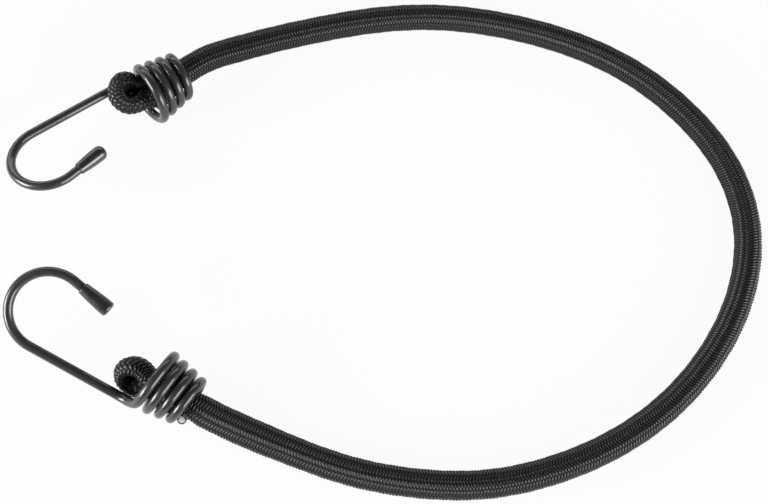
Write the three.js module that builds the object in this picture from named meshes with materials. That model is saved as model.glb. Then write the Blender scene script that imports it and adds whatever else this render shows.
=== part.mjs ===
// A bungee cord: rubber strands in a braided sheath, with each end folded back into the coil of a
// bent wire hook. A soft cap covers each hook's tip. Millimetres, +Z up, +X from the hooks to the bight.
import * as THREE from 'three';

// Cord section
const CORD_DIAMETER = 9;
const SHEATH_WALL = 0.9;
const STRAND_DIAMETER = 2;
const STRAND_CIRCLE = 2.2;
const OUTER_STRANDS = 6;
const CORD_SIDES = 12;
const STRAND_SIDES = 5;
const RUN_STEPS = 38;
const FOLD_STEPS = 28;
const FACE_GAP = 0.3;
const EXIT_RADIUS = 4.4;
const EXIT_OFFSET = 0.3;
const EXIT_STRAIGHT = 1.2;

// Hook wire
const WIRE_DIAMETER = 3;
const WIRE_SIDES = 8;
const COIL_TURNS = 4;
const COIL_PITCH = 3.67;
const COIL_RADIUS_HOOK_END = 9.35;
const COIL_RADIUS_CORD_END = 6.55;
const COIL_STEPS_PER_TURN = 18;
const CORNER_REACH = 6.5;
const CORNER_TURN = 0.8;
const CORNER_STEPS = 5;
const SHANK_OFFSET = 9.7;
const SHANK_LENGTH = 36;
const SHANK_SPLAY = THREE.MathUtils.degToRad(3.3);
const BEND_RADIUS = 12;
const BEND_ANGLE = THREE.MathUtils.degToRad(191);
const BEND_STEPS = 22;
const TIP_LEG = 11.6;

// Tip cap
const CAP_LENGTH = 10.4;
const CAP_BORE_DIAMETER = 3.3;
const CAP_BORE_DEPTH = 8.8;
const CAP_MOUTH_DIAMETER = 4.0;
const CAP_END_DIAMETER = 4.7;
const CAP_DOME = 1.9;
const CAP_LIP = 0.2;
const CAP_SIDES = 16;

// Fold of the cord in the coil, in the coil's own frame: x along the coil towards the cord,
// y from the shank across to the tip. The last number is the squeezed cord's radius there.
const COIL_LENGTH = COIL_TURNS * COIL_PITCH;
const STANDING_LEG = [
  [COIL_LENGTH - FACE_GAP, -EXIT_OFFSET, 0, EXIT_RADIUS],
  [COIL_LENGTH - FACE_GAP - EXIT_STRAIGHT, -EXIT_OFFSET, 0, EXIT_RADIUS],
  [11.4, 0.2, 0.1, 4.2],
  [8.6, 1.4, 0.3, 3.9],
  [5.6, 2.5, 0.6, 3.7],
  [2.8, 1.9, 0.9, 3.4],
  [0, 0, 1.2, 3.0],
];
const BIGHT_CENTRE = new THREE.Vector3(-4, -3, -2.1);
const BIGHT_ARM = new THREE.Vector3(0, 3.1, 2.15);
const BIGHT_REACH = 3.7;
const BIGHT_CORD_RADIUS = 3.5;
const TAIL_LEG = [
  [-0.8, -4.8, -2.6, 2.4],
  [2, -4.3, -2.1, 2.2],
  [5.6, -3.7, -1.7, 2.3],
];

// Where each coil starts, the way it points, and how far its hook is rolled tip upwards
const HOOKS_APART = 94.5;
const ENDS = {
  a: { at: [9.6, 0.49 * HOOKS_APART, 10.67], heading: 37.3, slope: -3, roll: 16, side: -1 },
  b: { at: [16.4, -0.51 * HOOKS_APART, 10.87], heading: -31.2, slope: -12, roll: 21, side: 1 },
};

// Free cord from end a round the bight to end b, drawn for hooks that lie 94.5 apart
const DRAWN_APART = 94.5;
const LYING = (CORD_DIAMETER / 2) * Math.cos(Math.PI / CORD_SIDES) + 0.003;
const ROUTE = [
  [28.3, 61.4, 9.2],
  [38.6, 66.9, 7.0],
  [49.5, 71.2, 5.2],
  [60.7, 74.7, LYING],
  [83.8, 79.6, LYING],
  [107.4, 81.5, LYING],
  [130.8, 78.8, LYING],
  [153.5, 72.3, LYING],
  [174.3, 61.6, LYING],
  [191.7, 46.1, LYING],
  [204.3, 26.7, LYING],
  [209.0, 3.7, LYING],
  [204.0, -19.7, LYING],
  [192.1, -40.1, LYING],
  [176.1, -56.6, LYING],
  [157.5, -68.6, LYING],
  [137.6, -76.4, LYING],
  [117.1, -80.3, LYING],
  [96.6, -79.8, LYING],
  [76.6, -76.0, LYING],
  [57.4, -69.1, LYING],
  [38.5, -60.9, 5.0],
];

// Colours and finishes
const braid = () => new THREE.MeshStandardMaterial({ color: 0x18181a, roughness: 0.8 });
const rubber = () => new THREE.MeshStandardMaterial({ color: 0xb9a67e, roughness: 0.7 });
const coating = () => new THREE.MeshStandardMaterial({ color: 0x2c2c2f, roughness: 0.35, metalness: 0.4 });
const vinyl = () => new THREE.MeshStandardMaterial({ color: 0x1d1d20, roughness: 0.4 });

const part = new THREE.Group();

function add(name, geometry, material) {
  const mesh = new THREE.Mesh(geometry, material);
  mesh.name = name;
  part.add(mesh);
}

// A solid skinned over rings of points. A looped skin joins its last ring to its first,
// and an open one is closed by a fan at each end.
function skin(rings, looped) {
  const sides = rings[0].length;
  const points = rings.flat();
  const faces = [];
  const bands = looped ? rings.length : rings.length - 1;
  for (let i = 0; i < bands; i += 1) {
    const here = i * sides;
    const next = ((i + 1) % rings.length) * sides;
    for (let k = 0; k < sides; k += 1) {
      const l = (k + 1) % sides;
      faces.push(here + k, next + k, next + l);
      faces.push(here + k, next + l, here + l);
    }
  }
  if (!looped) {
    const last = (rings.length - 1) * sides;
    for (let k = 1; k < sides - 1; k += 1) {
      faces.push(0, k, k + 1);
      faces.push(last, last + k + 1, last + k);
    }
  }
  let volume = 0;
  for (let i = 0; i < faces.length; i += 3) {
    const [a, b, c] = [points[faces[i]], points[faces[i + 1]], points[faces[i + 2]]];
    volume += a.dot(new THREE.Vector3().crossVectors(b, c));
  }
  if (volume < 0) faces.reverse();
  const geometry = new THREE.BufferGeometry().setFromPoints(points);
  geometry.setIndex(faces);
  geometry.computeVertexNormals();
  return geometry;
}

// A ring of points round one station, turned by half a side so that flats face across and along
function ring(station, radius, sides, du = 0, dv = 0) {
  const points = [];
  for (let k = 0; k < sides; k += 1) {
    const angle = (2 * Math.PI * (k + 0.5)) / sides;
    const u = du + radius * Math.cos(angle);
    const v = dv + radius * Math.sin(angle);
    points.push(station.at.clone().addScaledVector(station.u, u).addScaledVector(station.v, v));
  }
  return points;
}

// Stations along a curve whose v axis keeps to one given direction
function stationsAlong(curve, steps, keep, radiusAt) {
  const stations = [];
  for (let i = 0; i <= steps; i += 1) {
    const t = i / steps;
    const along = curve.getTangentAt(t);
    const v = keep.clone().addScaledVector(along, -keep.dot(along)).normalize();
    const u = new THREE.Vector3().crossVectors(v, along);
    stations.push({ at: curve.getPointAt(t), u, v, scale: radiusAt(t) / (CORD_DIAMETER / 2) });
  }
  return stations;
}

// The braided sheath is a pipe, and the strands lie in it: one in the middle, the rest round it
function addCord(stations, sheathName, strandName) {
  const outside = stations.map((s) => ring(s, (s.scale * CORD_DIAMETER) / 2, CORD_SIDES));
  const bore = CORD_DIAMETER / 2 - SHEATH_WALL;
  const inside = stations.map((s) => ring(s, s.scale * bore, CORD_SIDES));
  add(sheathName, skin([...outside, ...inside.reverse()], true), braid());
  for (let n = 0; n <= OUTER_STRANDS; n += 1) {
    const out = n === 0 ? 0 : STRAND_CIRCLE;
    const angle = (2 * Math.PI * n) / OUTER_STRANDS;
    const rings = stations.map((s) => {
      const du = s.scale * out * Math.cos(angle);
      const dv = s.scale * out * Math.sin(angle);
      return ring(s, (s.scale * STRAND_DIAMETER) / 2, STRAND_SIDES, du, dv);
    });
    add(`${strandName}_${n + 1}`, skin(rings, false), rubber());
  }
}

// The frame of one end: x along the coil to the cord, y from shank to tip, rolled tip upwards
function endFrame({ at, heading, slope, roll, side }) {
  const h = THREE.MathUtils.degToRad(heading);
  const s = THREE.MathUtils.degToRad(slope);
  const r = THREE.MathUtils.degToRad(roll);
  const x = new THREE.Vector3(Math.cos(h) * Math.cos(s), Math.sin(h) * Math.cos(s), Math.sin(s));
  const level = new THREE.Vector3(-side * Math.sin(h), side * Math.cos(h), 0);
  const upward = new THREE.Vector3().crossVectors(x, level).multiplyScalar(side);
  const y = level.multiplyScalar(Math.cos(r)).addScaledVector(upward, Math.sin(r));
  const z = new THREE.Vector3().crossVectors(x, y);
  return new THREE.Matrix4().makeBasis(x, y, z).setPosition(...at);
}

function coilPoint(angle) {
  const t = angle / (2 * Math.PI * COIL_TURNS);
  const radius = THREE.MathUtils.lerp(COIL_RADIUS_HOOK_END, COIL_RADIUS_CORD_END, t);
  return new THREE.Vector3(t * COIL_LENGTH, -radius * Math.cos(angle), radius * Math.sin(angle));
}

// Centre line of one hook's wire in its own frame, from the tip leg to the end of the coil
function wireLine() {
  const along = new THREE.Vector3(-Math.cos(SHANK_SPLAY), -Math.sin(SHANK_SPLAY), 0);
  const across = new THREE.Vector3(along.y, -along.x, 0);
  const corner = new THREE.Vector3(0, -SHANK_OFFSET, 0);
  const bendStart = corner.clone().addScaledVector(along, SHANK_LENGTH);
  const bendCentre = bendStart.clone().addScaledVector(across, BEND_RADIUS);
  const onBend = (angle) =>
    bendCentre
      .clone()
      .addScaledVector(across, -BEND_RADIUS * Math.cos(angle))
      .addScaledVector(along, BEND_RADIUS * Math.sin(angle));
  const tipWay = across.clone().multiplyScalar(Math.sin(BEND_ANGLE));
  tipWay.addScaledVector(along, Math.cos(BEND_ANGLE));
  const points = [];
  for (let i = 0; i < 3; i += 1) {
    points.push(onBend(BEND_ANGLE).addScaledVector(tipWay, (TIP_LEG * (3 - i)) / 3));
  }
  for (let i = BEND_STEPS; i >= 0; i -= 1) points.push(onBend((BEND_ANGLE * i) / BEND_STEPS));
  const leave = corner.clone().addScaledVector(along, CORNER_REACH);
  for (let i = 1; i <= 3; i += 1) points.push(bendStart.clone().lerp(leave, i / 3));
  const joinAt = coilPoint(CORNER_TURN);
  const joinWay = coilPoint(CORNER_TURN + 0.01).sub(coilPoint(CORNER_TURN - 0.01)).normalize();
  const bezier = new THREE.CubicBezierCurve3(
    leave,
    leave.clone().addScaledVector(along, -CORNER_REACH * 0.62),
    joinAt.clone().addScaledVector(joinWay, -CORNER_REACH * 0.62),
    joinAt,
  );
  for (let i = 1; i <= CORNER_STEPS; i += 1) points.push(bezier.getPoint(i / CORNER_STEPS));
  const steps = COIL_TURNS * COIL_STEPS_PER_TURN;
  const full = 2 * Math.PI * COIL_TURNS;
  for (let i = 1; i <= steps; i += 1) {
    points.push(coilPoint(CORNER_TURN + ((full - CORNER_TURN) * i) / steps));
  }
  return points;
}

// Stations along points, with the section carried forward without twist
function stationsThrough(points, firstV) {
  const stations = [];
  const v = firstV.clone();
  points.forEach((at, i) => {
    const before = points[Math.max(i - 1, 0)];
    const after = points[Math.min(i + 1, points.length - 1)];
    const along = after.clone().sub(before).normalize();
    v.addScaledVector(along, -v.dot(along)).normalize();
    const u = new THREE.Vector3().crossVectors(v, along);
    stations.push({ at: at.clone(), u, v: v.clone() });
  });
  return stations;
}

// Least clear gap between turns of the coil, measured on points half a turn or more apart
function leastCoilGap(points) {
  const coil = points.slice(-COIL_TURNS * COIL_STEPS_PER_TURN);
  let least = Infinity;
  for (let i = 0; i < coil.length; i += 1) {
    for (let k = i + COIL_STEPS_PER_TURN / 2; k < coil.length; k += 1) {
      least = Math.min(least, coil[i].distanceTo(coil[k]) - WIRE_DIAMETER);
    }
  }
  return least;
}

// A blind sleeve with a domed end, pushed over the wire's tip; x runs out along the wire's end
function capRings(tip, out, v) {
  const u = new THREE.Vector3().crossVectors(v, out);
  const profile = [
    [0, CAP_BORE_DIAMETER / 2],
    [-CAP_BORE_DEPTH, CAP_BORE_DIAMETER / 2],
    [-CAP_BORE_DEPTH, CAP_MOUTH_DIAMETER / 2 - CAP_LIP],
    [-CAP_BORE_DEPTH + CAP_LIP, CAP_MOUTH_DIAMETER / 2],
  ];
  const dome = CAP_END_DIAMETER / 2;
  const shoulder = CAP_LENGTH - CAP_BORE_DEPTH - CAP_DOME;
  profile.push([shoulder, dome]);
  for (const turn of [25, 50, 72]) {
    const angle = THREE.MathUtils.degToRad(turn);
    profile.push([shoulder + CAP_DOME * Math.sin(angle), dome * (0.3 + 0.7 * Math.cos(angle))]);
  }
  return profile.map(([x, radius]) => {
    const at = tip.clone().addScaledVector(out, x + FACE_GAP);
    return ring({ at, u, v }, radius, CAP_SIDES);
  });
}

function foldStations() {
  const points = STANDING_LEG.map(([x, y, z]) => new THREE.Vector3(x, y, z));
  const radii = STANDING_LEG.map((p) => p[3]);
  for (const turn of [0, 45, 90, 135, 180]) {
    const angle = THREE.MathUtils.degToRad(turn);
    const point = BIGHT_CENTRE.clone().addScaledVector(BIGHT_ARM, Math.cos(angle));
    point.x -= BIGHT_REACH * Math.sin(angle);
    points.push(point);
    radii.push(BIGHT_CORD_RADIUS);
  }
  for (const [x, y, z, radius] of TAIL_LEG) {
    points.push(new THREE.Vector3(x, y, z));
    radii.push(radius);
  }
  const curve = new THREE.CatmullRomCurve3(points, false, 'centripetal');
  const lengths = [0];
  for (let i = 1; i < points.length; i += 1) {
    lengths.push(lengths[i - 1] + points[i].distanceTo(points[i - 1]));
  }
  const radiusAt = (t) => {
    const want = t * lengths.at(-1);
    let i = 1;
    while (i < lengths.length - 1 && lengths[i] < want) i += 1;
    const share = (want - lengths[i - 1]) / (lengths[i] - lengths[i - 1]);
    return THREE.MathUtils.lerp(radii[i - 1], radii[i], share);
  };
  const normal = new THREE.Vector3(1, 0, 0).cross(BIGHT_ARM).normalize();
  return stationsAlong(curve, FOLD_STEPS, normal, radiusAt);
}

function placed(stations, matrix) {
  return stations.map((s) => ({
    at: s.at.clone().applyMatrix4(matrix),
    u: s.u.clone().transformDirection(matrix),
    v: s.v.clone().transformDirection(matrix),
    scale: s.scale,
  }));
}

// Both ends are the same pieces, laid in their own frames
const exits = [];
for (const [end, pose] of Object.entries(ENDS)) {
  const frame = endFrame(pose);
  const line = wireLine();
  const wire = stationsThrough(line, new THREE.Vector3(0, 0, 1));
  const wireRings = placed(wire, frame).map((s) => ring(s, WIRE_DIAMETER / 2, WIRE_SIDES));
  add(`hook_wire_${end}`, skin(wireRings, false), coating());
  const tip = line[0].clone().applyMatrix4(frame);
  const out = line[0].clone().sub(line[1]).normalize().transformDirection(frame);
  const v = new THREE.Vector3(0, 0, 1).transformDirection(frame);
  add(`tip_cap_${end}`, skin(capRings(tip, out, v), false), vinyl());
  addCord(placed(foldStations(), frame), `folded_sheath_${end}`, `folded_strand_${end}`);
  const straight = [COIL_LENGTH, COIL_LENGTH + EXIT_STRAIGHT];
  exits.push(straight.map((x) => new THREE.Vector3(x, -EXIT_OFFSET, 0).applyMatrix4(frame)));
  if (end === 'a') console.log('least gap between coil turns', leastCoilGap(line).toFixed(2));
}

const spread = HOOKS_APART / DRAWN_APART;
const runPoints = ROUTE.map(([x, y, z]) => new THREE.Vector3(x, spread * y, z));
const runLine = [...exits[0], ...runPoints, ...exits[1].reverse()];
const run = new THREE.CatmullRomCurve3(runLine, false, 'centripetal');
console.log('free cord length', run.getLength().toFixed(1));
const runRadius = (t) => {
  const free = Math.min(1, 20 * t, 20 * (1 - t));
  return THREE.MathUtils.lerp(EXIT_RADIUS, CORD_DIAMETER / 2, free);
};
addCord(stationsAlong(run, RUN_STEPS, new THREE.Vector3(0, 0, 1), runRadius), 'sheath', 'core_strand');

export default part;
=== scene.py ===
# %% [markdown]
# # A bungee cord with two wire hooks
# The real thing is one length of elastic cord: rubber strands inside a black braided sleeve. Each end
# is folded back on itself and held in the coil of a bent wire hook, and a soft cap covers each tip.
# The packed model already has every piece at its real size and place. This lesson gives those pieces
# their looks, so the first step is to load that model as a frame that nothing here moves.

import bpy
import numpy as np
from mathutils import Matrix


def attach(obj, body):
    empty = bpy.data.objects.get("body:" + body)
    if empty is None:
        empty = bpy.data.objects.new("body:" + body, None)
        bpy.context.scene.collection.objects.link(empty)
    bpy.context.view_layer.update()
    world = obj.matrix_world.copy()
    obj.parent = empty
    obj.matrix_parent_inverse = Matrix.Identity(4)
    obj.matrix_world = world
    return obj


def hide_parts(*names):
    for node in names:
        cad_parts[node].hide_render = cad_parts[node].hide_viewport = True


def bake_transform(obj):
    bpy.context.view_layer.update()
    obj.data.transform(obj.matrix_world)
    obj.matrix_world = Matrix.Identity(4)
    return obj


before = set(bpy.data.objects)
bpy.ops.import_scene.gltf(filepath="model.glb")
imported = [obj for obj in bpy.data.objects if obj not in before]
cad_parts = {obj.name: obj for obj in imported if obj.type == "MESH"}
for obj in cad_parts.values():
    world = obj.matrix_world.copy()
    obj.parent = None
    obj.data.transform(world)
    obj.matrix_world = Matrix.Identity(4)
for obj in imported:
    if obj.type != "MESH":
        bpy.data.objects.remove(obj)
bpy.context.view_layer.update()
MM = 0.001

# %% [markdown]
# ## The camera
# The photograph looks down steeply, a little from the left of straight ahead. A camera could be
# turned by hand until the picture fits. Here three directions of unit length place it exactly: to its
# right, up, and back from what it looks at. The picture's level line is the world's X, so up is at
# right angles to both X and the way back. Lengths are in millimetres until Blender gets them in
# metres.

# %% Camera at the photograph's angle
ELEVATION = np.radians(70.0)
FROM_LEFT = np.radians(11.37)
LOOKS_AT = np.array([87.7, -5.6, 4.5])
DISTANCE = 372.8
PHOTO_WIDTH_PX = 768
FOCAL_PX = 1154.0
SENSOR_WIDTH = 36.0
X_AXIS = np.array([1.0, 0.0, 0.0])


def placed(right, up, back, place):
    """The matrix of a thing at place, in metres, whose own axes point right, up and back."""
    matrix = np.eye(4)
    matrix[:3] = np.stack([right, up, back, place], axis=1)
    return Matrix(matrix.tolist())


level = np.cos(ELEVATION)
back = np.array([-np.sin(FROM_LEFT) * level, -np.cos(FROM_LEFT) * level, np.sin(ELEVATION)])
above = np.cross(back, X_AXIS)
above /= np.linalg.norm(above)
eye = (LOOKS_AT + DISTANCE * back) * MM
lens = bpy.data.cameras.new("camera")
lens.sensor_fit = "HORIZONTAL"
lens.sensor_width = SENSOR_WIDTH
lens.lens = SENSOR_WIDTH * FOCAL_PX / PHOTO_WIDTH_PX
lens.clip_start = 0.01
camera = bpy.data.objects.new("camera", lens)
camera.matrix_world = placed(np.cross(above, back), above, back, eye)
bpy.context.collection.objects.link(camera)
bpy.context.scene.camera = camera
print("camera at", np.round(eye, 4), "lens", round(lens.lens, 2))

# %% [markdown]
# ## From a grid of points to a mesh
# Every new piece is a tube of some kind, so it is a grid: one row for each ring along the piece, one
# column for each point round it. Rows join to the next row, the last column joins to the first, and
# each end is closed by one flat face. Faces could be added one by one, but the whole table of corner
# numbers takes only a few array steps.


# %% Grid mesh
def tube_quads(rows, columns):
    """Corner numbers of a tube's quads: quad (i, j) joins rows i and i + 1 at columns j and j + 1,
    with columns counted round."""
    row, column = np.meshgrid(np.arange(rows - 1), np.arange(columns), indexing="ij")
    here, ahead = row * columns, (row + 1) * columns
    beside = (column + 1) % columns
    quads = np.stack([here + column, here + beside, ahead + beside, ahead + column], axis=-1)
    return quads.reshape(-1, 4)


def tube_mesh(name, grid, **fields):
    """A tube over a grid of points, closed by a flat face at each end. fields are numbers for each
    point, kept as named attributes."""
    rows, columns = grid.shape[:2]
    quads = tube_quads(rows, columns)
    first_ring = np.arange(columns)
    last_ring = first_ring + (rows - 1) * columns
    ends = [first_ring[::-1].tolist(), last_ring.tolist()]
    mesh = bpy.data.meshes.new(name)
    mesh.from_pydata((grid.reshape(-1, 3) * MM).tolist(), [], quads.tolist() + ends)
    for field, values in fields.items():
        kept = np.ascontiguousarray(values, dtype=np.float32).ravel()
        mesh.attributes.new(field, "FLOAT", "POINT").data.foreach_set("value", kept)
    mesh.polygons.foreach_set("use_smooth", np.arange(len(mesh.polygons)) < len(quads))
    mesh.update()
    piece = bpy.data.objects.new(name, mesh)
    bpy.context.collection.objects.link(piece)
    return piece


print("quads of 2 rings of 3 points", tube_quads(2, 3).tolist())

# %% [markdown]
# ## A smooth line through chosen points
# The cord lies along listed points. A natural cubic spline is the bend that a thin springy
# strip takes when it is pinned at those points, which suits an elastic cord. Its slopes at the points
# come from one small set of linear equations.


# %% Spline
def lengths(line):
    """Distance along a line of points, from its first point."""
    return np.concatenate([[0], np.cumsum(np.linalg.norm(np.diff(line, axis=0), axis=1))])


def spline(points, count):
    """A natural cubic spline through points, with chord length as its parameter, at count even steps
    of that parameter. The second derivatives solve one tridiagonal system."""
    points = np.asarray(points, float)
    knots = lengths(points)
    gaps = np.diff(knots)
    system = np.eye(len(points))
    inner = np.arange(1, len(points) - 1)
    system[inner, inner - 1] = gaps[:-1]
    system[inner, inner] = 2 * (gaps[:-1] + gaps[1:])
    system[inner, inner + 1] = gaps[1:]
    slope = np.diff(points, axis=0) / gaps[:, None]
    target = np.zeros_like(points)
    target[1:-1] = 6 * np.diff(slope, axis=0)
    curve = np.linalg.solve(system, target)
    t = np.linspace(0, knots[-1], count)
    k = np.clip(np.searchsorted(knots, t, side="right") - 1, 0, len(gaps) - 1)
    h = gaps[k][:, None]
    a = ((knots[k + 1] - t) / gaps[k])[:, None]
    b = 1 - a
    bend = ((a**3 - a) * curve[k] + (b**3 - b) * curve[k + 1]) * h**2 / 6
    return a * points[k] + b * points[k + 1] + bend


bow = spline([[0, 0, 0], [1, 1, 0], [2, 0, 0]], 99)
print("a line bowed over 3 points is", round(lengths(bow)[-1], 3), "long")

# %% [markdown]
# A tube also needs two directions across its line at every point, to set its rings on. Directions
# taken from the line's own bend flip over where the bend changes sides, so each line is given a
# direction to keep instead.

# %% Directions across a line
Z_AXIS = np.array([0.0, 0.0, 1.0])


def unit(vectors):
    """Vectors of length one."""
    return vectors / np.linalg.norm(vectors, axis=-1, keepdims=True)


def across(line, keep):
    """Two directions at right angles to a line at each of its points: v is the part of keep that is
    square to the line, and u is square to both."""
    along = unit(np.gradient(line, axis=0))
    v = unit(keep - (keep * along).sum(-1, keepdims=True) * along)
    return np.cross(v, along), v


def sample(table, at, where):
    """Rows of a table of vectors, read between its steps: table is known at the values in at."""
    return np.stack([np.interp(where, at, table[:, k]) for k in range(3)], axis=-1)


print("across the bow's start", [np.round(way[0], 2).tolist() for way in across(bow, Z_AXIS)])

# %% [markdown]
# ## Where the two ends lie
# Both ends are the same pieces, so each is drawn once in its own axes: x along the coil towards the
# cord, y from the hook's shank across to its tip. A heading, a slope and a roll then lay the end on
# the floor, exactly as in the packed model.

# %% Axes of each end
COIL_TURNS = 4
COIL_PITCH = 3.67
COIL_LENGTH = COIL_TURNS * COIL_PITCH
EXIT_OFFSET = 0.3
EXIT_STRAIGHT = 1.2
HOOKS_APART = 94.5


def end_axes(heading, slope, roll, side):
    """Rows x, y and z of one end: x by heading and slope, y level and then rolled upwards about x."""
    h, s, r = np.radians([heading, slope, roll])
    x = np.array([np.cos(h) * np.cos(s), np.sin(h) * np.cos(s), np.sin(s)])
    level = np.array([-side * np.sin(h), side * np.cos(h), 0.0])
    y = np.cos(r) * level + np.sin(r) * side * np.cross(x, level)
    return np.stack([x, y, np.cross(x, y)])


ENDS = {
    "a": (np.array([9.6, 0.49 * HOOKS_APART, 10.67]), end_axes(37.3, -3, 16, -1)),
    "b": (np.array([16.4, -0.51 * HOOKS_APART, 10.87]), end_axes(-31.2, -12, 21, 1)),
}


def laid(points, end):
    """Points of an end's own axes, laid in the row frame."""
    start, axes = ENDS[end]
    return start + np.asarray(points, float) @ axes


for end in ENDS:
    print("coil", end, "leaves the cord at", np.round(laid([COIL_LENGTH, -EXIT_OFFSET, 0], end), 1))

# %% [markdown]
# ## The braided sleeve
# A braider lays yarns in two families that wind opposite ways and pass over each other. On a slack
# elastic cord they lie almost straight round it. Seen closely, that gives columns of short ribs along
# the cord. Ribs slant one way in one column and the other way in the next, and the ends of the ribs
# mesh like a zip. A bump map would leave the outline smooth, and the photograph shows a toothed one,
# so the ribs are real geometry. The grid itself is sheared into that zigzag, so each rib follows a
# row of points and few points are needed.

# %% Braid surface
CORD_DIAMETER = 9.0
COLUMNS = 12
POINTS_PER_COLUMN = 5
RIB_PITCH = 0.98
RIB_ROWS = 6
RIB_SLANT = np.radians(13)
RIB_HEIGHT = 0.36
RIB_CROWN = 2.4
COLUMN_CROWN = 4
RIB_MESHING = 0.15
FADE_RIBS = 2
WANDER = ((0.04, 0.61, 2), (0.03, 1.7, -1))


def braid_grid(line, radius, keep, first=0, last=None, rib_pitch=RIB_PITCH):
    """Points of a braided sleeve along a line. Row s and angle f give column c = f * 12 / turn.
    The row shifts along the line by a triangle wave of c, the angle shifts by cos(s) * cos(c) so that
    rib ends mesh, and the radius falls between ribs by 1 - |h| ** 2.4 and between columns by
    1 - w ** 4, where h crosses a rib and w a column from -1 to 1. WANDER adds slow waves, each with a
    height and its angle for each rib and each turn. first and last count ribs. Returns the points,
    the rise of the yarn from 0 to 1 and the running count of ribs."""
    run = lengths(line)
    u, v = across(line, keep)
    ribs = int(round(run[-1] / rib_pitch))
    pitch = run[-1] / ribs
    last = ribs if last is None else last
    count = np.arange(first * RIB_ROWS, last * RIB_ROWS + 1)[:, None] / RIB_ROWS
    column = np.arange(COLUMNS * POINTS_PER_COLUMN)[None, :] / POINTS_PER_COLUMN
    odd = np.floor(column) % 2
    w = 2 * (column % 1) - 1
    rib = count + 0.5 * odd
    h = 2 * (rib % 1) - 1
    rise = (1 - np.abs(h) ** RIB_CROWN) * (1 - w**COLUMN_CROWN)
    middle = np.interp(count * pitch, run, radius)
    fade = np.clip(np.minimum(count, ribs - count) / FADE_RIBS, 0, 1)
    slant = np.tan(RIB_SLANT) * middle * np.pi / COLUMNS
    place = count * pitch + fade * slant * w * (1 - 2 * odd)
    turn = column + RIB_MESHING * np.cos(2 * np.pi * count) * np.cos(np.pi * column)
    angle = 2 * np.pi * turn / COLUMNS
    wander = sum(high * np.sin(by_rib * count + by_turn * angle) for high, by_rib, by_turn in WANDER)
    out = middle - RIB_HEIGHT * (1 - rise) + wander
    side = unit(sample(u, run, place))
    top = unit(sample(v, run, place))
    ring = np.cos(angle)[..., None] * side + np.sin(angle)[..., None] * top
    points = sample(line, run, place) + out[..., None] * ring
    return points, rise, np.broadcast_to(rib, rise.shape)


print(COLUMNS, "columns of ribs, one rib for each", RIB_PITCH, "mm of cord")

# %% [markdown]
# ## The free cord
# The photograph shows the whole cord, so its length is what the picture shows. It leaves one coil,
# sinks to the floor, goes round in one wide bend and rises into the other coil. A coil pinches the
# cord a little where it comes out, and beside coil b the cord swells again just after that.

# %% Route of the cord
LYING = 4.35
ROUTE = [
    [28.6, 61.0, 9.2],
    [38.9, 66.4, 7.0],
    [49.6, 70.9, 5.2],
    [60.8, 74.5, LYING],
    [83.8, 79.6, LYING],
    [107.4, 81.5, LYING],
    [130.8, 78.8, LYING],
    [153.5, 72.3, LYING],
    [174.3, 61.6, LYING],
    [191.7, 46.1, LYING],
    [204.3, 26.7, LYING],
    [209.0, 3.7, LYING],
    [204.0, -19.7, LYING],
    [192.1, -40.1, LYING],
    [176.1, -56.6, LYING],
    [157.5, -68.6, LYING],
    [137.6, -76.4, LYING],
    [117.1, -80.3, LYING],
    [96.6, -79.8, LYING],
    [76.6, -76.0, LYING],
    [57.4, -69.1, LYING],
    [38.5, -60.9, 5.0],
]
ROUTE_POINTS = 3000
PINCH, PINCH_REACH = 0.1, 22.0
SWELL, SWELL_RISE, SWELL_FALL, SWELL_END = 0.3, 4.0, 16.0, 36.0
straight_out = [
    [COIL_LENGTH, -EXIT_OFFSET, 0],
    [COIL_LENGTH + EXIT_STRAIGHT, -EXIT_OFFSET, 0],
]
ends_and_route = [laid(straight_out, "a"), ROUTE, laid(straight_out[::-1], "b")]
run_line = spline(np.vstack(ends_and_route), ROUTE_POINTS)
from_a = lengths(run_line)
run_length = from_a[-1]
from_b = run_length - from_a
pinched = PINCH * (1 - np.clip(np.minimum(from_a, from_b) / PINCH_REACH, 0, 1))
swollen = np.clip(from_b / SWELL_RISE, 0, 1) * np.clip((SWELL_END - from_b) / SWELL_FALL, 0, 1)
run_radius = CORD_DIAMETER / 2 - pinched + SWELL * swollen
print("free cord", round(run_length, 1), "mm long,", CORD_DIAMETER, "mm thick")

# %% [markdown]
# The free cord is made as two halves, one on the side of each hook, that share the ring of points
# where they meet. The ring lies in the wide bend, where nothing moves when the cord is pulled. Ribs
# that would reach into the floor are pressed flat on it.

# %% Two halves of the free cord
FLAT_BELOW = 0.1
FLAT_SHARE = 0.3
RUN_RIBS = int(round(run_length / RIB_PITCH))
HALF_RIBS = int(np.argmax(run_line[:, 0]) / len(run_line) * RUN_RIBS)
CORD_NODES = ["sheath"] + [f"core_strand_{n}" for n in range(1, 8)]
halves = {}
for end, first, last in (("a", 0, HALF_RIBS), ("b", HALF_RIBS, RUN_RIBS)):
    points, rise, rib = braid_grid(run_line, run_radius, Z_AXIS, first, last)
    height = points[..., 2]
    pressed = FLAT_BELOW + FLAT_SHARE * (height - FLAT_BELOW)
    points[..., 2] = np.where(height < FLAT_BELOW, pressed, height)
    half = tube_mesh(f"cord_{end}", points, rise=rise, rib=rib)
    path = points.mean(axis=1)
    path = path if end == "a" else path[::-1]
    path[-1] * MM
    path[0] * MM
    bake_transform(half)
    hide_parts(*CORD_NODES)
    path[0] * MM
    path[::3] * MM
    halves[end] = half
    print("half", end, len(half.data.polygons), "faces,", round(lengths(path)[-1], 1), "mm")

# %% [markdown]
# ## The folded ends
# In each coil the cord turns back on itself in a tight loop, and the coil squeezes both legs. A ring
# could stand for the loop, but its legs change in width all the way. So the fold is a list of points
# in the end's own axes with the squeezed radius at each, and the same braid is carried along it.

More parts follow.
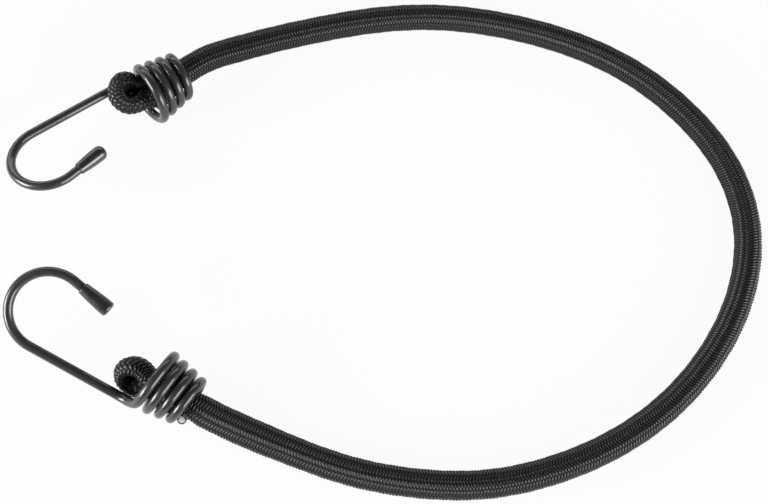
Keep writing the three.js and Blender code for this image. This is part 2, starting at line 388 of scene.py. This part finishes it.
# %% Line of the fold
STANDING_LEG = [
    [COIL_LENGTH, -EXIT_OFFSET, 0, 4.4],
    [COIL_LENGTH - EXIT_STRAIGHT, -EXIT_OFFSET, 0, 4.4],
    [11.4, 0.2, 0.1, 4.2],
    [8.6, 1.4, 0.3, 3.9],
    [5.6, 2.5, 0.6, 3.7],
    [2.8, 1.9, 0.9, 3.4],
    [0, -0.3, 1.0, 3.35],
]
BIGHT_CENTRE = {"a": np.array([-3.0, -3.0, -2.1]), "b": np.array([-4.0, -3.0, -2.1])}
BIGHT_ARM = np.array([0.0, 3.1, 2.15])
BIGHT_REACH = 3.7
BIGHT_CORD_RADIUS = 3.65
TAIL_START = {"a": np.array([1.9, -2.6, -1.0, 3.4]), "b": np.array([1.4, -2.6, -1.0, 3.4])}
TAIL_LEG = [[0.5, -4.65, -2.35, 2.38], [2.6, -4.2, -2.1, 2.3], [5.6, -3.7, -1.7, 2.3]]


def fold_knots(end):
    """Rows of x, y, z and radius: the leg that comes in, the loop, which is centre + arm cos t -
    reach sin t along x for half a turn of t, and the tail that goes back into the coil."""
    t = np.radians([[0], [45], [90], [135], [180]])
    centre = BIGHT_CENTRE[end]
    loop = centre + np.cos(t) * BIGHT_ARM - np.sin(t) * BIGHT_REACH * X_AXIS
    loop = np.hstack([loop, np.full_like(t, BIGHT_CORD_RADIUS)])
    return np.vstack([STANDING_LEG, loop, np.append(centre, 0) + TAIL_START[end], TAIL_LEG])


for end in ENDS:
    print("fold", end, "is", round(lengths(fold_knots(end)[:, :3])[-1], 1), "mm from point to point")

# %% [markdown]
# The sleeve of the fold keeps to the normal of the fold's own plane, so that it doesn't twist in the
# loop. The inside of the loop is crushed, so the points near the loop's axis sink along it and leave
# a pit. A shade field marks that pit and the stretch of cord inside the coil. The finish turns it
# into painted shade there: a darker colour and less shine.

# %% Fold in each coil
FOLD_POINTS = 900
FOLD_RIB_PITCH = 1.05
PIT_RADIUS = {"a": 2.5, "b": 3.4}
PIT_DEPTH = 2.6
PIT_POWER = 0.5
COIL_SHADE = 0.9
SHADE_EDGE = 3
fold_normal = unit(np.cross(X_AXIS, BIGHT_ARM))
folds = {}
for end in ENDS:
    knots = fold_knots(end)
    fold_line = spline(knots[:, :3], FOLD_POINTS)
    knots_at = lengths(knots[:, :3])
    fold_radius = np.interp(np.linspace(0, 1, FOLD_POINTS), knots_at / knots_at[-1], knots[:, 3])
    points, rise, rib = braid_grid(fold_line, fold_radius, fold_normal, rib_pitch=FOLD_RIB_PITCH)
    from_centre = points - BIGHT_CENTRE[end]
    in_plane = from_centre - (from_centre @ fold_normal)[..., None] * fold_normal
    from_axis = np.linalg.norm(in_plane, axis=-1)
    pinch = np.clip(1 - from_axis / PIT_RADIUS[end], 0, 1) ** PIT_POWER
    x = points[..., 0]
    in_coil = np.clip(x / SHADE_EDGE, 0, 1) * np.clip((COIL_LENGTH - x) / SHADE_EDGE, 0, 1)
    # Painted shade: shade darkens the yarn's colour and dulls its shine in the pit and inside the
    # coil.
    shade = np.maximum(pinch, COIL_SHADE * in_coil)
    up = np.sign((ENDS[end][1].T @ fold_normal)[2])
    points = points - PIT_DEPTH * pinch[..., None] * fold_normal * up
    fold = tube_mesh(f"fold_{end}", laid(points, end), rise=rise, rib=rib, shade=shade)
    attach(fold, f"end_{end}")
    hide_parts(f"folded_sheath_{end}", *[f"folded_strand_{end}_{n}" for n in range(1, 8)])
    folds[end] = fold
    deepest = round(PIT_DEPTH * pinch.max(), 1)
    print("fold", end, len(fold.data.polygons), "faces, pit", deepest, "mm deep")

# %% [markdown]
# ## The hook wire
# Each hook is one length of steel wire. It starts inside the cap, comes round the open bend, runs
# straight as the shank, turns a tight corner and winds four turns round the cord, each turn smaller
# than the last. The last bit of the coil is drawn in a little to lie on the cord. One line with five
# stretches describes it all, and a round section follows that line.

# %% Flat part of the wire
SHANK_OFFSET = 9.7
SHANK_LENGTH = 36.0
SHANK_SPLAY = np.radians(3.3)
BEND_RADIUS = 12.0
BEND_ANGLE = np.radians(191)
TIP_LEG = 11.6
CORNER_REACH = 6.5
TIP_STEPS, BEND_STEPS, SHANK_STEPS = 30, 120, 60
outward = np.array([-np.cos(SHANK_SPLAY), -np.sin(SHANK_SPLAY), 0])
inward = np.array([outward[1], -outward[0], 0])
corner = np.array([0, -SHANK_OFFSET, 0])
bend_start = corner + SHANK_LENGTH * outward
bend_centre = bend_start + BEND_RADIUS * inward
turned = np.linspace(BEND_ANGLE, 0, BEND_STEPS)[:, None]
bend = bend_centre - BEND_RADIUS * np.cos(turned) * inward + BEND_RADIUS * np.sin(turned) * outward
tip_way = np.sin(BEND_ANGLE) * inward + np.cos(BEND_ANGLE) * outward
tip_leg = bend[0] + np.linspace(TIP_LEG, 0, TIP_STEPS)[:-1, None] * tip_way
shank_end = corner + CORNER_REACH * outward
shank = bend_start + np.linspace(0, 1, SHANK_STEPS)[1:, None] * (shank_end - bend_start)
print("tip", round(lengths(tip_leg)[-1], 1), "bend", round(lengths(bend)[-1], 1), "mm long")

# %% Corner and coil of the wire
COIL_RADIUS_HOOK_END = 9.35
COIL_RADIUS_CORD_END = 6.55
CORNER_TURN = 0.8
CORNER_HANDLE = 0.62
CORNER_STEPS, COIL_STEPS = 36, 420
SMALL_TURN = 0.01
TUCK = np.array([0.03, 0.09, 0.09])
TUCK_TURN = 1.2


def coil_point(angle):
    """A cone-shaped left-handed helix: x grows with the angle, and the radius shrinks with it."""
    t = angle / (2 * np.pi * COIL_TURNS)
    radius = COIL_RADIUS_HOOK_END + t * (COIL_RADIUS_CORD_END - COIL_RADIUS_HOOK_END)
    return np.stack([t * COIL_LENGTH, -radius * np.cos(angle), radius * np.sin(angle)], axis=-1)


def bezier(start, start_way, end, end_way, handle, steps):
    """A cubic Bezier curve with the weights (1-b)^3, 3(1-b)^2 b, 3(1-b) b^2 and b^3, without its
    first point. Its handles go on from start and lead into end."""
    b = np.linspace(0, 1, steps)[1:, None]
    return (
        (1 - b) ** 3 * start
        + 3 * (1 - b) ** 2 * b * (start + handle * start_way)
        + 3 * (1 - b) * b**2 * (end - handle * end_way)
        + b**3 * end
    )


join = coil_point(CORNER_TURN)
join_way = unit(coil_point(CORNER_TURN + SMALL_TURN) - coil_point(CORNER_TURN - SMALL_TURN))
handle = CORNER_HANDLE * CORNER_REACH
corner_line = bezier(shank_end, -outward, join, join_way, handle, CORNER_STEPS)
coil_angle = np.linspace(CORNER_TURN, 2 * np.pi * COIL_TURNS, COIL_STEPS)[1:]
tuck = np.clip(1 - (coil_angle[-1] - coil_angle) / TUCK_TURN, 0, 1)[:, None] ** 2
coil = coil_point(coil_angle) * (1 - tuck * TUCK)
wire_line = np.vstack([tip_leg, bend, shank, corner_line, coil])
wire_at = lengths(wire_line)
wire_length = wire_at[-1]
print("wire", round(wire_length, 1), "mm long in each hook")

# %% [markdown]
# A curve with a round bevel would give a wire too. A grid is chosen because it can carry the distance
# along the wire and the place round it as fields for the finish. The section has to turn with the
# wire without a jump. In the flat part of the hook the direction to keep is the hook's own normal,
# and in the coil it is the coil's axis. It swings from one to the other through the corner, always
# roughly square to the wire.

# %% Round section along the wire
WIRE_DIAMETER = 3.0
WIRE_ROUND = 28
WIRE_RINGS = 520
END_ROUND = 0.6
END_RINGS = 7


def ring_angles(count):
    """Angles of count points round a ring, shaped to go with a column of rings."""
    return 2 * np.pi * np.arange(count)[None, :, None] / count


corner_from = len(tip_leg) + len(bend) + len(shank)
through_corner = (np.arange(len(wire_line)) - corner_from) / len(corner_line)
swing = np.clip(through_corner, 0, 1)[:, None] * np.pi / 2
wire_u, wire_v = across(wire_line, np.cos(swing) * Z_AXIS - np.sin(swing) * X_AXIS)
steps = np.concatenate(
    [
        np.linspace(0, END_ROUND, END_RINGS),
        np.linspace(END_ROUND, wire_length - END_ROUND, WIRE_RINGS)[1:-1],
        np.linspace(wire_length - END_ROUND, wire_length, END_RINGS),
    ]
)
to_end = np.clip(np.minimum(steps, wire_length - steps) / END_ROUND, 0, 1)
wire_radius = WIRE_DIAMETER / 2 - END_ROUND * (1 - np.sqrt(1 - (1 - to_end) ** 2))
spin = ring_angles(WIRE_ROUND)
side = unit(sample(wire_u, wire_at, steps))[:, None]
top = unit(sample(wire_v, wire_at, steps))[:, None]
section = np.cos(spin) * side + np.sin(spin) * top
wire_points = sample(wire_line, wire_at, steps)[:, None] + wire_radius[:, None, None] * section
print("wire grid", wire_points.shape[:2])

# %% Hook at each end
along = np.broadcast_to(steps[:, None], wire_points.shape[:2])
around = np.broadcast_to(np.cos(spin)[..., 0], wire_points.shape[:2])
wires = {}
for end in ENDS:
    wire = tube_mesh(f"hook_{end}", laid(wire_points, end), along=along, around=around)
    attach(wire, f"hook_{end}")
    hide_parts(f"hook_wire_{end}")
    wires[end] = wire
    print("hook", end, len(wire.data.polygons), "faces")

# %% [markdown]
# ## The tip caps
# A short sleeve of dipped vinyl is pushed over each tip. It is a shape of revolution: a profile that
# starts inside the bore, rolls over a soft lip, widens towards its end and closes in a dome. The dome
# is round on one cap and nearly flat on the other, as in the photograph, so the profile takes the
# dome's length and bluntness. A modifier could spin it, but one product of arrays does the same.

# %% Cap profile
CAP_LENGTH = 10.4
CAP_BORE_DIAMETER = 3.3
CAP_BORE_DEPTH = 8.8
CAP_MOUTH_DIAMETER = 3.8
CAP_END_DIAMETER = 4.9
CAP_DOMES = {"a": (2.4, 0.8), "b": (1.0, 0.45)}
DOME_EASE = 0.85
BORE_STEPS, LIP_STEPS, SIDE_STEPS, DOME_STEPS = 6, 14, 30, 22
lip_middle = (CAP_BORE_DIAMETER + CAP_MOUTH_DIAMETER) / 4
lip_half = (CAP_MOUTH_DIAMETER - CAP_BORE_DIAMETER) / 4
lip_at = -CAP_BORE_DEPTH + lip_half


def cap_profile(dome, blunt):
    """Points (x, r) from the bore's end round the lip, half a circle, to the dome: r grows by a
    quarter sine along the side, then falls by cos(c) ** blunt over the dome's length. A small blunt
    gives a flatter end."""
    bore_x = np.linspace(0, lip_at, BORE_STEPS)
    roll = np.pi * np.linspace(0, 1, LIP_STEPS)
    dome_at = CAP_LENGTH - CAP_BORE_DEPTH - dome
    share = np.linspace(0, 1, SIDE_STEPS)
    widen = (CAP_END_DIAMETER - CAP_MOUTH_DIAMETER) / 2
    c = np.linspace(0, np.pi / 2, DOME_STEPS)
    x = [
        bore_x,
        (lip_at - lip_half * np.sin(roll))[1:],
        (lip_at + share * (dome_at - lip_at))[1:],
        (dome_at + dome * np.sin(c) ** DOME_EASE)[1:-1],
    ]
    r = [
        np.full_like(bore_x, CAP_BORE_DIAMETER / 2),
        (lip_middle - lip_half * np.cos(roll))[1:],
        (CAP_MOUTH_DIAMETER / 2 + widen * np.sin(share * np.pi / 2))[1:],
        (CAP_END_DIAMETER / 2 * np.cos(c) ** blunt)[1:-1],
    ]
    return np.stack([np.concatenate(x), np.concatenate(r)], axis=-1)


for end, dome in CAP_DOMES.items():
    print("cap", end, "is", round(np.ptp(cap_profile(*dome)[:, 0]), 2), "mm long")

# %% Profile turned round each tip
FACE_GAP = 0.3
CAP_ROUND = 48
turns = ring_angles(CAP_ROUND)
ring = np.cos(turns) * np.cross(Z_AXIS, tip_way) + np.sin(turns) * Z_AXIS
tip = wire_line[0] + FACE_GAP * tip_way
caps = {}
for end, dome in CAP_DOMES.items():
    profile = cap_profile(*dome)[:, None]
    cap_points = tip + profile[..., :1] * tip_way + profile[..., 1:] * ring
    cap = tube_mesh(f"cap_{end}", laid(cap_points, end))
    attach(cap, f"hook_{end}")
    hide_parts(f"tip_cap_{end}")
    caps[end] = cap
    print("cap", end, len(cap.data.polygons), "faces")

# %% [markdown]
# Which way a grid's faces point depends on which way its rows run, so each mesh is asked for its
# volume. A closed mesh that faces outwards has a positive one, and one that doesn't is turned round.

# %% Faces outwards
for piece in [*halves.values(), *folds.values(), *wires.values(), *caps.values()]:
    mesh = piece.data
    mesh.calc_loop_triangles()
    spots = np.empty(len(mesh.vertices) * 3)
    mesh.vertices.foreach_get("co", spots)
    corners = np.empty(len(mesh.loop_triangles) * 3, int)
    mesh.loop_triangles.foreach_get("vertices", corners)
    tri = spots.reshape(-1, 3)[corners.reshape(-1, 3)]
    volume = (tri[:, 0] * np.cross(tri[:, 1], tri[:, 2])).sum() / 6
    if volume < 0:
        mesh.flip_normals()
    print(piece.name, "volume", round(abs(volume) / MM**3, 1), "mm3", "turned" if volume < 0 else "")

# %% [markdown]
# ## Writing a finish as sums
# A finish is a small network of nodes. Written as Python sums it stays readable: a value wraps one
# socket, and adding or multiplying two values adds one Math node. Every other node comes from one
# method that takes its type, its settings and what goes into its sockets.


# %% Values and networks
class Value:
    """One output socket in a network, with sums that add Math nodes."""

    def __init__(self, network, socket):
        self.network = network
        self.socket = socket

    def math(self, operation, *terms):
        return self.network.node("ShaderNodeMath", {"operation": operation}, dict(enumerate(terms)))

    def __add__(self, other):
        return self.math("ADD", self, other)

    def __mul__(self, other):
        return self.math("MULTIPLY", self, other)

    def __sub__(self, other):
        return self.math("SUBTRACT", self, other)

    def __rsub__(self, other):
        return self.math("SUBTRACT", other, self)

    def __pow__(self, other):
        return self.math("POWER", self, other)

    __radd__ = __add__
    __rmul__ = __mul__

    def sine(self):
        return self.math("SINE", self)

    def clamp(self):
        return self.network.node("ShaderNodeClamp", {}, {"Value": self})


class Network:
    """The nodes of one material, or of the world."""

    def __init__(self, tree):
        self.tree = tree

    def feed(self, socket, value):
        """A value is linked to a socket, and anything else is set on it."""
        if isinstance(value, Value):
            self.tree.links.new(value.socket, socket)
        else:
            socket.default_value = value

    def node(self, kind, settings, sockets, output=0):
        """A node of any kind: its settings first, then its sockets, each by its name or number."""
        made = self.tree.nodes.new(kind)
        for setting, value in settings.items():
            setattr(made, setting, value)
        for socket, value in sockets.items():
            self.feed(made.inputs[socket], value)
        return Value(self, made.outputs[output])


print("sums on values:", [name for name in vars(Value) if name.endswith(("add__", "mul__", "sub__"))])

# %% [markdown]
# A finish is such a network round one shader. What stays the same all over the piece is set on the
# shader's own sockets. What changes comes from the mesh's fields and from noise in the piece's own
# coordinates, so that it stays in place when the piece moves.


# %% Finishes
class Finish(Network):
    """A material with one shader."""

    def __init__(self, name, **constants):
        self.material = bpy.data.materials.new(name)
        self.material.use_nodes = True
        super().__init__(self.material.node_tree)
        self.shader = self.tree.nodes["Principled BSDF"]
        self.set(**constants)

    def set(self, **sockets):
        for socket, value in sockets.items():
            self.feed(self.shader.inputs[socket.replace("_", " ")], value)

    def field(self, name):
        return self.node("ShaderNodeAttribute", {"attribute_name": name}, {}, output="Fac")

    def noise(self, scale, detail=3.0):
        spot = self.node("ShaderNodeTexCoord", {}, {}, output="Object")
        sockets = {"Vector": spot, "Scale": scale, "Detail": detail}
        return self.node("ShaderNodeTexNoise", {}, sockets)

    def mix(self, share, low, high):
        """A colour between two: sockets 6 and 7 of a Mix node are its colours, and output 2 is the
        colour between them."""
        sockets = {0: share, 6: low, 7: high}
        return self.node("ShaderNodeMix", {"data_type": "RGBA"}, sockets, output=2)

    def bump(self, height, distance):
        sockets = {"Height": height, "Distance": distance, "Strength": 1.0}
        return self.node("ShaderNodeBump", {}, sockets)

    def put_on(self, *pieces):
        for piece in pieces:
            piece.data.materials.append(self.material)
        print(self.material.name, "with", len(self.tree.nodes), "nodes on", [p.name for p in pieces])


def grey(level, blue):
    """A colour of one level, with its own level of blue."""
    return (level, level, blue, 1)


# %% [markdown]
# ## Black braided yarn
# The yarn is dyed polyester: near black, and slightly shiny on the crown of each rib. Its colour is
# made much darker in the gaps between ribs, which is painted shade. A picture of a braid would not
# meet the modelled ribs, so the mesh carries the yarn's rise and a running count of ribs, and the
# finish follows those. Fine filaments run along each rib as a small wave of that count. In the
# fold's pit and inside the coil, the shade field adds painted shade: it darkens the yarn and takes
# its shine away.

# %% Yarn finish
FILAMENTS = 6
yarn = Finish("black_yarn", Specular_IOR_Level=0.4, Coat_Roughness=0.35)
yarn_rise = yarn.field("rise")
filament = (yarn.field("rib") * (2 * np.pi * FILAMENTS)).sine() * 0.5 + 0.5
fleck = yarn.noise(900.0)
shade = yarn.field("shade")
# Painted shade: the colour is darker where the yarn's rise is low, in the gaps, and where shade marks
# the pit and the coil.
light = (yarn_rise * 0.7 + filament * yarn_rise * 0.2 + (fleck - 0.5) * 0.5 - shade).clamp()
yarn.set(
    Base_Color=yarn.mix(light, grey(0.0006, 0.0007), grey(0.007, 0.0073)),
    Roughness=0.9 - 0.6 * yarn_rise * (1.0 - shade) + (fleck - 0.5) * 0.2,
    Coat_Weight=(yarn_rise**2.0 * (1.0 - shade) * (0.3 + fleck)).clamp() * 0.8,
    Normal=yarn.bump(filament * 0.6 + fleck * 0.6, 0.03 * MM),
)
yarn.put_on(*halves.values(), *folds.values())

# %% [markdown]
# ## Coated wire
# The wire has a dark satin coating over steel. Drawing and bending leave faint streaks along it, and
# the coating has a fine grain, so the gloss is a little uneven. Where the wire was cut, at the end of
# the coil, the bare face is light. A second material would do for that face, but the distance along
# the wire finds it as well.

# %% Wire finish
BARE_DEPTH = 0.03
STREAKS = 41.0
coating = Finish("coated_wire", Specular_IOR_Level=0.5, Coat_Weight=0.9, Coat_Roughness=0.05)
grain = coating.noise(1600.0)
cloud = coating.noise(140.0, 2.0)
streak = (coating.field("around") * STREAKS + cloud * 9.0).sine() * 0.5 + 0.5
bare = ((coating.field("along") - (wire_length - BARE_DEPTH)) * 100.0).clamp()
paint = coating.mix(cloud * 0.7 + grain * 0.3, grey(0.033, 0.0342), grey(0.06, 0.0618))
coating.set(
    Base_Color=coating.mix(bare, paint, grey(0.9, 0.9)),
    Metallic=0.5 - bare * 0.5,
    Roughness=0.4 + (cloud - 0.5) * 0.06 + streak * 0.03 + bare * 0.1,
    Normal=coating.bump(grain * 0.7 + streak * 0.3, 0.002 * MM),
)
coating.put_on(*wires.values())

# %% [markdown]
# ## Vinyl caps
# Dipped vinyl is smooth and glossy, with a slight waviness where it ran before it set. The waves are
# too shallow to model, so a bump from two noises makes them.

# %% Vinyl finish
vinyl = Finish("black_vinyl", Specular_IOR_Level=1.0, Coat_Weight=0.5, Coat_Roughness=0.12)
ripple = vinyl.noise(420.0, 2.0)
speck = vinyl.noise(2600.0)
vinyl.set(
    Base_Color=vinyl.mix(ripple, grey(0.011, 0.0114), grey(0.024, 0.025)),
    Roughness=0.29 + (ripple - 0.5) * 0.14 + (speck - 0.5) * 0.06,
    Normal=vinyl.bump(ripple + speck * 0.15, 0.04 * MM),
)
vinyl.put_on(*caps.values())

# %% [markdown]
# ## Floor and light
# The picture has a plain white ground. Stronger lamps would whiten a floor, but also the black cord.
# So the white floor glows to the camera, and a little to reflections, and keeps a faint soft shadow.

# %% White floor
FLOOR_HALF = 3.0
SEEN_GLOW = 0.94
GLINT_GLOW = 0.3
WHITE = (1, 1, 1, 1)
floor_mesh = bpy.data.meshes.new("floor")
floor_corners = np.array([[-1, -1, 0], [1, -1, 0], [1, 1, 0], [-1, 1, 0]]) * FLOOR_HALF
floor_mesh.from_pydata(floor_corners.tolist(), [], [(0, 1, 2, 3)])
floor = bpy.data.objects.new("floor", floor_mesh)
bpy.context.collection.objects.link(floor)
ground = Finish("ground", Base_Color=grey(0.85, 0.85), Roughness=0.9, Specular_IOR_Level=0.1)
seen = ground.node("ShaderNodeLightPath", {}, {}, output="Is Camera Ray")
glint = ground.node("ShaderNodeLightPath", {}, {}, output="Is Glossy Ray")
glow = ground.node("ShaderNodeEmission", {}, {"Color": WHITE, "Strength": 1.0})
lit = Value(ground, ground.shader.outputs["BSDF"])
shares = {0: seen * SEEN_GLOW + glint * GLINT_GLOW, 1: lit, 2: glow}
surface = ground.node("ShaderNodeMixShader", {}, shares)
ground.feed(ground.tree.nodes["Material Output"].inputs["Surface"], surface)
ground.put_on(floor)
print("floor", 2 * FLOOR_HALF, "m square")

# %% [markdown]
# Two long soft lights stand low on opposite sides, so every round piece gets two streaks with a dark
# band between them, as in the photograph. A wide weak one behind lifts the far edges a little.


# %% Soft lights
def soft_light(name, place, aim, size, power):
    """A rectangular light at place, turned so that its face looks at aim."""
    lamp = bpy.data.lights.new(name, "AREA")
    lamp.shape = "RECTANGLE"
    lamp.size, lamp.size_y = size
    lamp.energy = power
    away = unit(np.array(place) - np.array(aim))
    sideways = unit(np.cross(Z_AXIS, away))
    made = bpy.data.objects.new(name, lamp)
    made.matrix_world = placed(sideways, np.cross(away, sideways), away, place)
    bpy.context.collection.objects.link(made)
    print(name, power, "W")


MIDDLE = (0.08, 0.0, 0.0)
soft_light("light_front_right", (0.9, -0.64, 0.38), MIDDLE, (1.1, 0.65), 16.0)
soft_light("light_left", (-0.9, -0.26, 0.36), MIDDLE, (0.6, 0.44), 13.5)
soft_light("light_back", (-0.1, 0.95, 0.45), MIDDLE, (1.7, 0.35), 4.0)

# %% [markdown]
# The room around gives only a weak fill, and is white where the camera sees it.

# %% White room
ROOM_FILL = 0.06
world = bpy.data.worlds.new("room")
world.use_nodes = True
room = Network(world.node_tree)
seen = room.node("ShaderNodeLightPath", {}, {}, output="Is Camera Ray")
strength = room.node("ShaderNodeMapRange", {}, {"Value": seen, "To Min": ROOM_FILL})
backdrop = room.tree.nodes["Background"]
room.feed(backdrop.inputs["Color"], WHITE)
room.feed(backdrop.inputs["Strength"], strength)
bpy.context.scene.world = world
bpy.context.scene.view_settings.view_transform = "Standard"
print("room fill", ROOM_FILL)

# %% [markdown]
